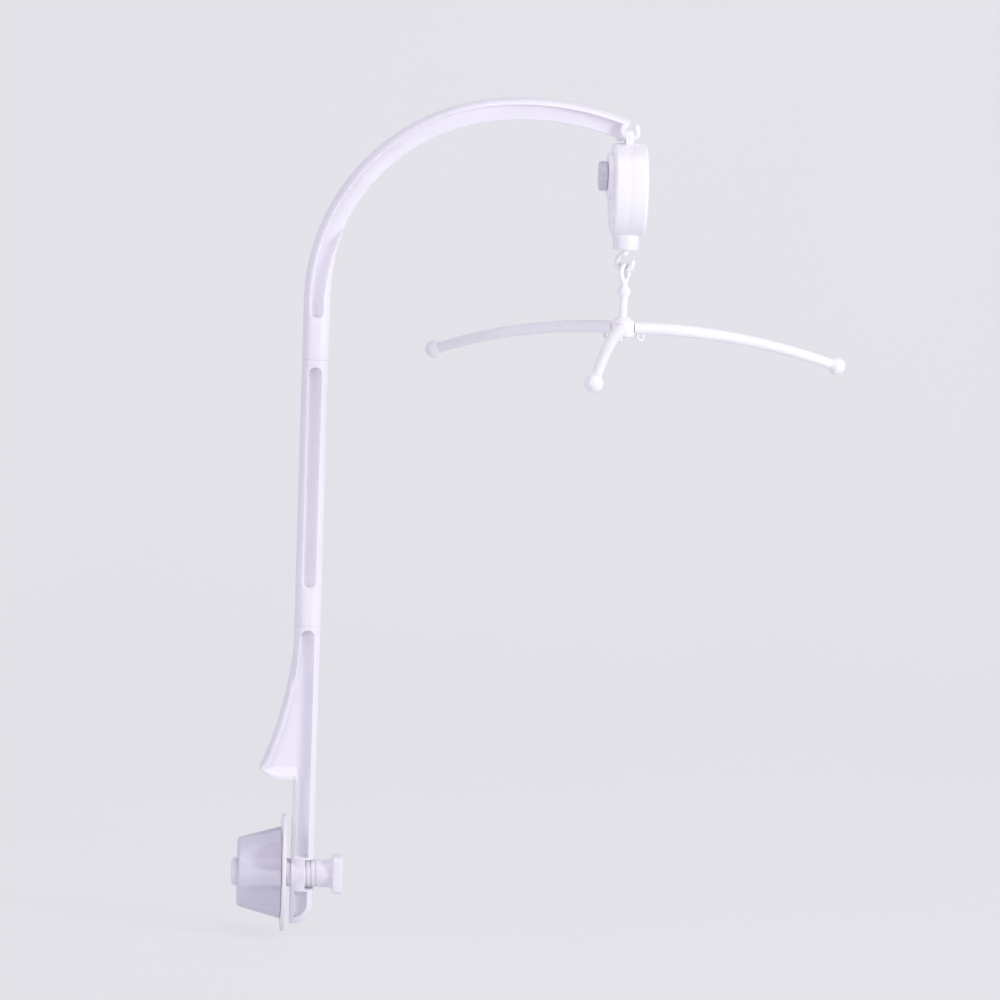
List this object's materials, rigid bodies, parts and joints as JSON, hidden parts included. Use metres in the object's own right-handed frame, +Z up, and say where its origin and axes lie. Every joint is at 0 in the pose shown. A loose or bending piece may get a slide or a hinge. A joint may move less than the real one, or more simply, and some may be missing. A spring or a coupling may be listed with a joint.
{
  "type": "crib mobile",
  "caption": "Clamp-on stand with an arched arm, a wind-up music box hung from its tip, and a turning spreader with ball-ended arms for hanging toys.",
  "frame": {"origin": "middle of the flat face under the lip, which rests on the crib's rail", "axes": "+Z up, +X from the rail towards the hanging music box, -Y towards the front"},
  "size_m": [0.4762, 0.319, 0.6578],
  "materials": {
    "stand_plastic": "satin moulded",
    "knob_plastic": "satin moulded",
    "case_plastic": "satin moulded",
    "key_plastic": "satin moulded",
    "spreader_plastic": "glossy moulded",
    "steel": "stamped",
    "spring_steel": "blued strip",
    "brass": "machined"
  },
  "bodies": {
    "stand": {"lower_arm": "stand_plastic", "middle_arm": "stand_plastic", "top_arm": "stand_plastic"},
    "bolt": {"clamp_bolt": "stand_plastic"},
    "plate": {"pressure_plate": "stand_plastic"},
    "knob": {"clamp_knob": "knob_plastic"},
    "music_box": {"hanger_bail": "case_plastic", "front_shell": "case_plastic", "back_shell": "case_plastic", "case_screws": "steel", "bedplate": "steel", "front_bridge": "steel", "movement_screws": "steel", "tone_comb": "steel", "comb_screws": "steel"},
    "winder": {"winding_key": "key_plastic", "winding_arbor": "steel", "ratchet_wheel": "steel"},
    "click": {"click": "brass"},
    "barrel": {"spring_barrel": "brass", "barrel_cover": "brass", "mainspring": "spring_steel"},
    "cylinder": {"pin_cylinder": "brass"},
    "drive": {"drive_shaft": "brass"},
    "governor": {"governor_wheel": "brass"},
    "fan": {"governor_fan": "brass"},
    "output": {"output_spindle": "spreader_plastic", "crown_wheel": "brass"},
    "spreader": {"hanger_link": "spreader_plastic", "spreader_hub": "spreader_plastic", "front_arm": "spreader_plastic", "left_arm": "spreader_plastic", "right_arm": "spreader_plastic"}
  },
  "joints": [
    {"name": "bolt_slide", "type": "slide", "parent": "stand", "child": "bolt", "axis": [1, 0, 0], "range_m": [-0.0145, 0]},
    {"name": "plate_slide", "type": "slide", "parent": "bolt", "child": "plate", "axis": [-1, 0, 0], "range_m": [-0.0041, 0.01901]},
    {"name": "knob_turn", "type": "hinge", "parent": "plate", "child": "knob", "pos_m": [-0.00021, 0, -0.075], "axis": [-1, 0, 0], "range_deg": [-388.3, 1800]},
    {"name": "box_swing", "type": "hinge", "parent": "stand", "child": "music_box", "pos_m": [0.25086, 0, 0.50822], "axis": [1, 0, 0], "range_deg": [-12, 12]},
    {"name": "key_turn", "type": "hinge", "parent": "music_box", "child": "winder", "pos_m": [0.25086, 0, 0.47802], "axis": [1, 0, 0], "continuous": true},
    {"name": "click_lift", "type": "hinge", "parent": "music_box", "child": "click", "pos_m": [0.25086, -0.0092, 0.48102], "axis": [1, 0, 0], "range_deg": [0, 12], "stiffness_Nm_per_rad": 0.0005, "springref_deg": -17.19},
    {"name": "output_spin", "type": "hinge", "parent": "music_box", "child": "output", "pos_m": [0.25086, 0, 0.42122], "axis": [0, 0, 1], "continuous": true},
    {"name": "drive_turn", "type": "hinge", "parent": "music_box", "child": "drive", "pos_m": [0.25086, 0, 0.45842], "axis": [1, 0, 0], "continuous": true},
    {"name": "barrel_turn", "type": "hinge", "parent": "music_box", "child": "barrel", "pos_m": [0.25086, 0, 0.47802], "axis": [1, 0, 0], "continuous": true},
    {"name": "cylinder_turn", "type": "hinge", "parent": "music_box", "child": "cylinder", "pos_m": [0.25086, -0.01699, 0.46396], "axis": [1, 0, 0], "continuous": true},
    {"name": "governor_turn", "type": "hinge", "parent": "music_box", "child": "governor", "pos_m": [0.25086, 0.01565, 0.46622], "axis": [1, 0, 0], "continuous": true},
    {"name": "fan_spin", "type": "hinge", "parent": "music_box", "child": "fan", "pos_m": [0.25746, 0.02435, 0.46802], "axis": [0, 0, 1], "continuous": true},
    {"name": "link_swing", "type": "hinge", "parent": "output", "child": "spreader", "pos_m": [0.25086, 0, 0.40482], "axis": [0.866, -0.5, 0], "range_deg": [-30, 30]}
  ],
  "couplings": [
    {"joint": "plate_slide", "follows": "knob_turn", "m_per_rad": 0.00060479},
    {"joint": "drive_turn", "follows": "output_spin", "ratio": 1.2},
    {"joint": "barrel_turn", "follows": "output_spin", "ratio": -0.26087},
    {"joint": "cylinder_turn", "follows": "output_spin", "ratio": 0.70588},
    {"joint": "governor_turn", "follows": "output_spin", "ratio": 1.2},
    {"joint": "fan_spin", "follows": "output_spin", "ratio": 36}
  ]
}
